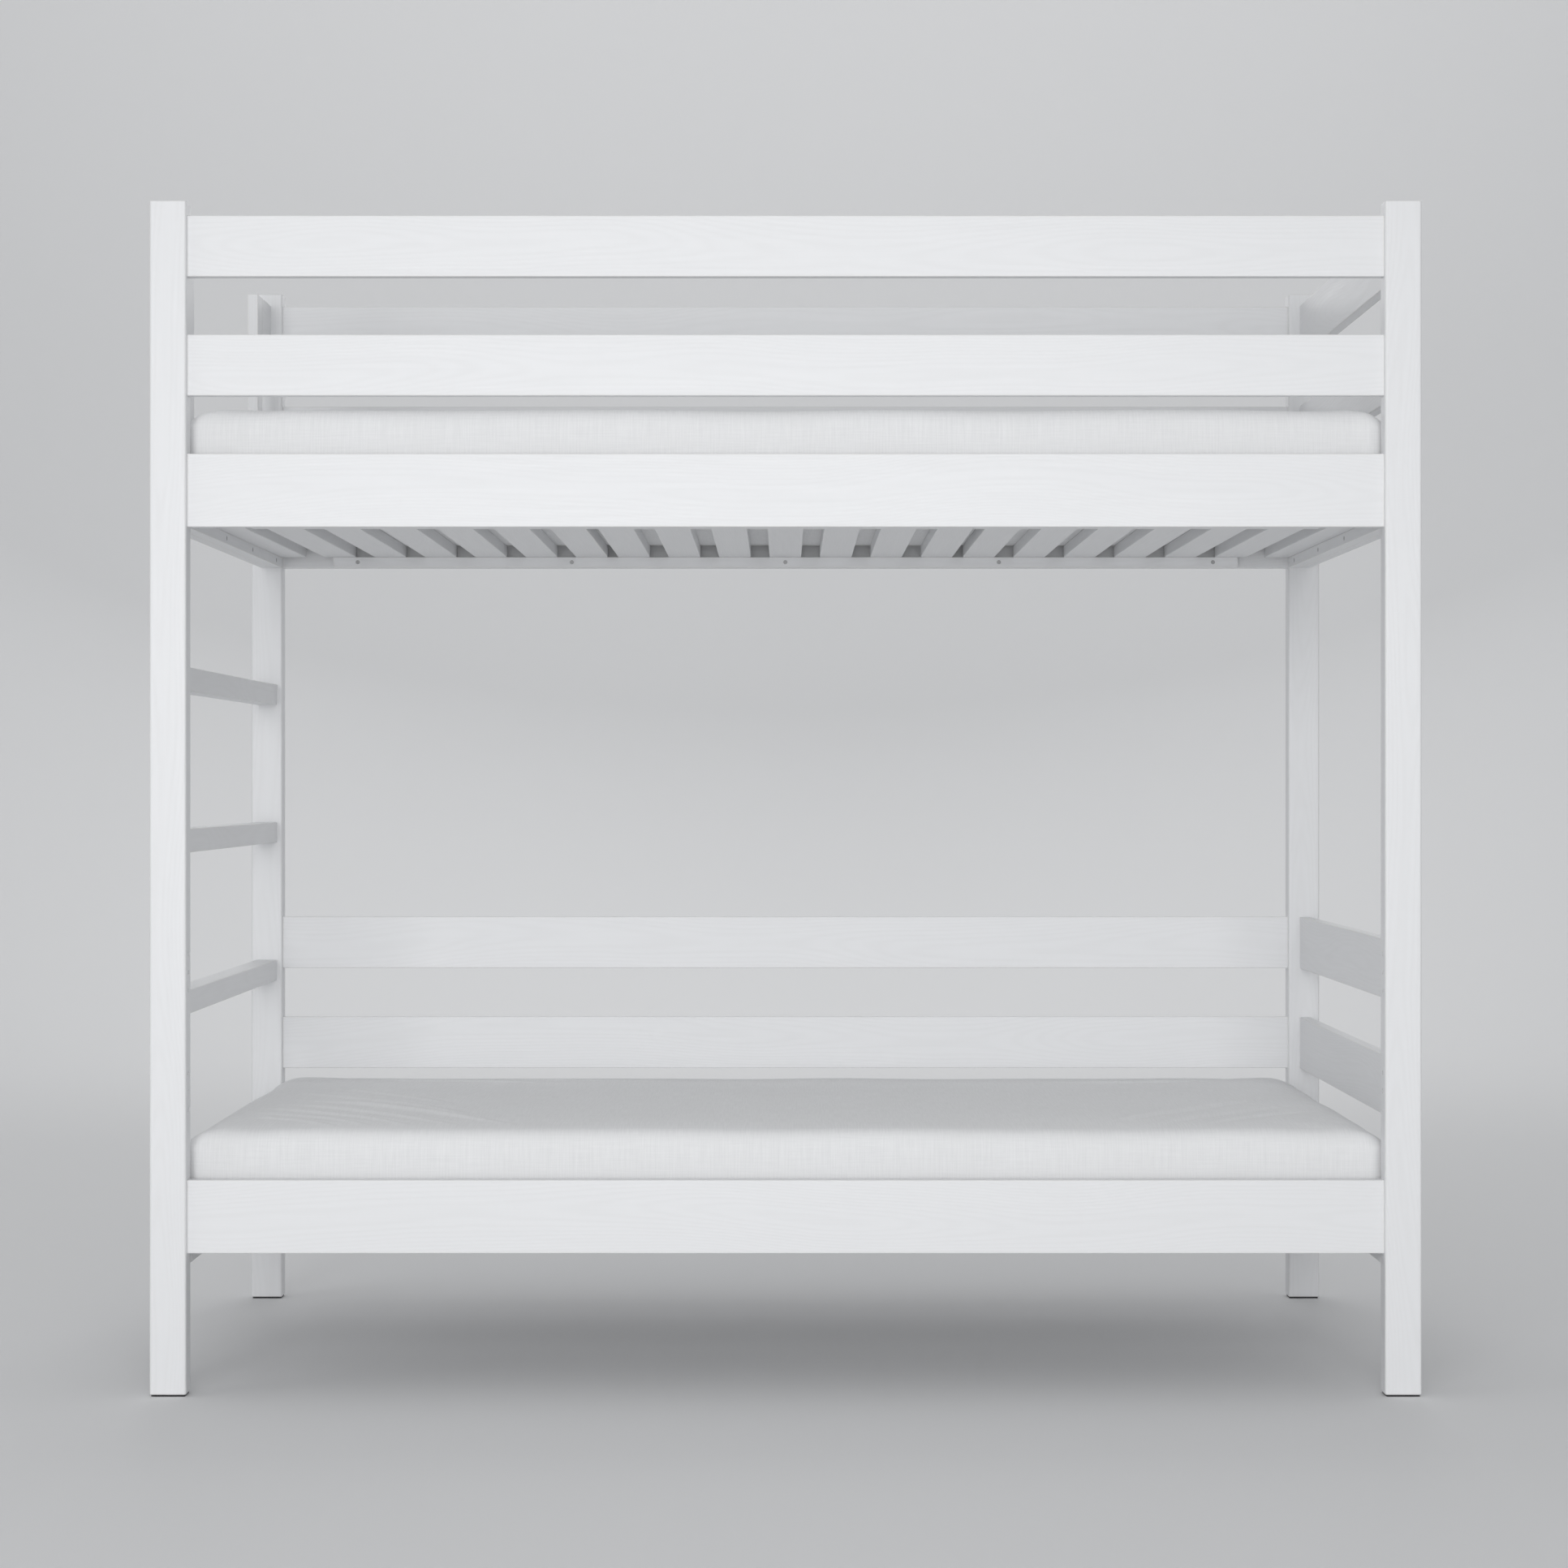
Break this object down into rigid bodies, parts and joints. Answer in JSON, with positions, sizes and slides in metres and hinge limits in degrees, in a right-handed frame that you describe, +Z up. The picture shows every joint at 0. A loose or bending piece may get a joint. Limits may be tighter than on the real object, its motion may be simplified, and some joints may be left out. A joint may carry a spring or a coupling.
{
  "type": "bunk bed",
  "caption": "White wooden bunk bed with a fixed end ladder, guard boards round the upper bed, slatted bases and foam mattresses.",
  "frame": {"origin": "centre of the footprint, on the floor under the glides", "axes": "+X along the bed, with the ladder at the -X end; +Y to the rear; +Z up"},
  "size_m": [2.08, 0.99, 1.956],
  "materials": {
    "white_lacquered_wood": "satin",
    "slat_wood": "satin",
    "beech_dowel": "matte",
    "zinc_steel": "satin",
    "glide_felt": "matte",
    "slat_tape": "matte",
    "mattress_fabric": "matte",
    "mattress_foam": "matte"
  },
  "bodies": {
    "frame": {"back_left_glide": "glide_felt", "back_left_post": "white_lacquered_wood", "back_right_glide": "glide_felt", "back_right_post": "white_lacquered_wood", "barrel_nuts": "zinc_steel", "end_frame_dowels": "beech_dowel", "entry_stanchion_back": "white_lacquered_wood", "entry_stanchion_front": "white_lacquered_wood", "entry_stub_board_back": "white_lacquered_wood", "entry_stub_board_front": "white_lacquered_wood", "front_left_glide": "glide_felt", "front_left_post": "white_lacquered_wood", "front_right_glide": "glide_felt", "front_right_post": "white_lacquered_wood", "ladder_rung_dowels": "beech_dowel", "ladder_rung_high": "white_lacquered_wood", "ladder_rung_low": "white_lacquered_wood", "ladder_rung_middle": "white_lacquered_wood", "ledger_screws": "zinc_steel", "left_lower_end_rail": "white_lacquered_wood", "left_upper_end_rail": "white_lacquered_wood", "lower_back_bed_rail": "white_lacquered_wood", "lower_back_ledger": "white_lacquered_wood", "lower_back_lower_board": "white_lacquered_wood", "lower_back_upper_board": "white_lacquered_wood", "lower_front_bed_rail": "white_lacquered_wood", "lower_front_ledger": "white_lacquered_wood", "lower_left_ledger": "white_lacquered_wood", "lower_right_ledger": "white_lacquered_wood", "lower_slat_tapes": "slat_tape", "lower_slats_left": "slat_wood", "lower_slats_middle": "slat_wood", "lower_slats_right": "slat_wood", "rail_bolts": "zinc_steel", "rail_dowels": "beech_dowel", "right_lower_end_rail": "white_lacquered_wood", "right_lower_lower_board": "white_lacquered_wood", "right_lower_upper_board": "white_lacquered_wood", "right_upper_end_rail": "white_lacquered_wood", "right_upper_middle_guard": "white_lacquered_wood", "right_upper_top_guard": "white_lacquered_wood", "slat_staples": "zinc_steel", "upper_back_bed_rail": "white_lacquered_wood", "upper_back_ledger": "white_lacquered_wood", "upper_back_middle_guard": "white_lacquered_wood", "upper_back_top_guard": "white_lacquered_wood", "upper_front_bed_rail": "white_lacquered_wood", "upper_front_ledger": "white_lacquered_wood", "upper_front_middle_guard": "white_lacquered_wood", "upper_front_top_guard": "white_lacquered_wood", "upper_left_ledger": "white_lacquered_wood", "upper_right_ledger": "white_lacquered_wood", "upper_slat_tapes": "slat_tape", "upper_slats_left": "slat_wood", "upper_slats_middle": "slat_wood", "upper_slats_right": "slat_wood"},
    "lower_mattress": {"lower_mattress_core": "mattress_foam", "lower_mattress_cover": "mattress_fabric"},
    "upper_mattress": {"upper_mattress_core": "mattress_foam", "upper_mattress_cover": "mattress_fabric"}
  },
  "joints": [
    {"name": "lower_mattress_lift", "type": "slide", "parent": "frame", "child": "lower_mattress", "axis": [0, 0, 1], "range_m": [0, 0.18]},
    {"name": "upper_mattress_lift", "type": "slide", "parent": "frame", "child": "upper_mattress", "axis": [0, 0, 1], "range_m": [0, 0.5]}
  ]
}
